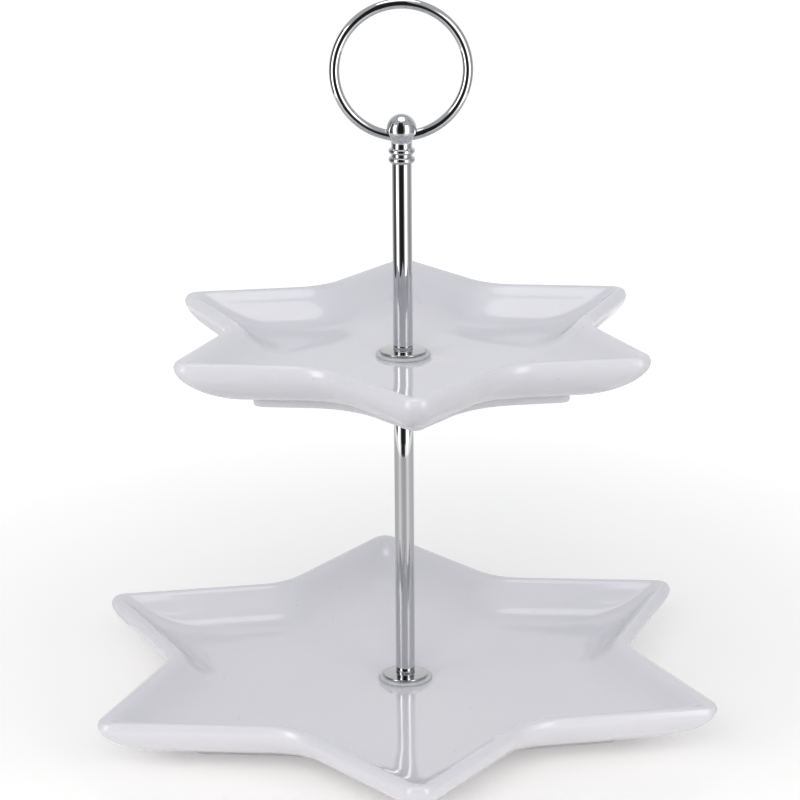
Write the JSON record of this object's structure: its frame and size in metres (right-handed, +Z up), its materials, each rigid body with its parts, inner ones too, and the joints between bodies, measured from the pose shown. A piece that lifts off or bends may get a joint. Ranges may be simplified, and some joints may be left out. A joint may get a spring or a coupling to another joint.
{
  "type": "tiered cake stand",
  "caption": "Star-shaped porcelain serving trays stacked on a chromed central rod, with a ring handle on top for carrying.",
  "frame": {"origin": "on the rod's axis, in the plane that the lower plate's foot rests on", "axes": "+Z up along the rod; -Y towards one point of the lower star; +X along the bore that the ring handle tilts in"},
  "size_m": [0.2474, 0.2836, 0.2975],
  "materials": {
    "lower_porcelain": "glossy white glaze",
    "upper_porcelain": "glossy white glaze",
    "rod_chrome": "mirror-polished plating",
    "flange_chrome": "mirror-polished plating",
    "finial_chrome": "mirror-polished plating",
    "ring_chrome": "mirror-polished plating",
    "clear_cushion": "soft translucent plastic",
    "thread_steel": "zinc-plated thread",
    "base_steel": "zinc-plated thread"
  },
  "bodies": {
    "lower_plate": {"lower_plate": "lower_porcelain"},
    "lower_rod": {"lower_rod": "rod_chrome", "lower_rod_bottom_insert": "thread_steel", "lower_rod_top_insert": "thread_steel", "lower_flange": "flange_chrome", "lower_cushion": "clear_cushion", "tier_stud": "thread_steel", "under_flange": "flange_chrome", "under_cushion": "clear_cushion"},
    "base_washers": {"base_washer": "base_steel", "base_cushion": "clear_cushion"},
    "base_screw": {"base_screw": "base_steel"},
    "upper_plate": {"upper_plate": "upper_porcelain"},
    "upper_collar": {"upper_flange": "flange_chrome", "upper_cushion": "clear_cushion"},
    "upper_rod": {"upper_rod": "rod_chrome", "upper_rod_bottom_insert": "thread_steel", "upper_rod_top_insert": "thread_steel", "finial_stud": "thread_steel", "finial": "finial_chrome"},
    "ring": {"ring_handle": "ring_chrome"}
  },
  "joints": [
    {"name": "stand_turn", "type": "hinge", "parent": "lower_plate", "child": "lower_rod", "pos_m": [0, 0, 0.01], "axis": [0, 0, 1], "continuous": true},
    {"name": "base_screw_turn", "type": "hinge", "parent": "lower_rod", "child": "base_washers", "pos_m": [0, 0, 0.005], "axis": [0, 0, -1], "range_deg": [0, 3600]},
    {"name": "base_screw_drop", "type": "slide", "parent": "base_washers", "child": "base_screw", "axis": [0, 0, -1], "range_m": [0, 0.007]},
    {"name": "upper_plate_turn", "type": "hinge", "parent": "lower_rod", "child": "upper_plate", "pos_m": [0, 0, 0.1515], "axis": [0, 0, 1], "continuous": true},
    {"name": "upper_rod_turn", "type": "hinge", "parent": "lower_rod", "child": "upper_collar", "pos_m": [0, 0, 0.1515], "axis": [0, 0, 1], "range_deg": [0, 3600]},
    {"name": "upper_rod_rise", "type": "slide", "parent": "upper_collar", "child": "upper_rod", "axis": [0, 0, 1], "range_m": [0, 0.007]},
    {"name": "ring_tilt", "type": "hinge", "parent": "upper_rod", "child": "ring", "pos_m": [0, 0, 0.2427], "axis": [1, 0, 0], "range_deg": [-173, 173]}
  ],
  "couplings": [
    {"joint": "base_screw_turn", "follows": "base_screw_drop", "rad_per_m": 8976},
    {"joint": "upper_rod_turn", "follows": "upper_rod_rise", "rad_per_m": 8976}
  ]
}
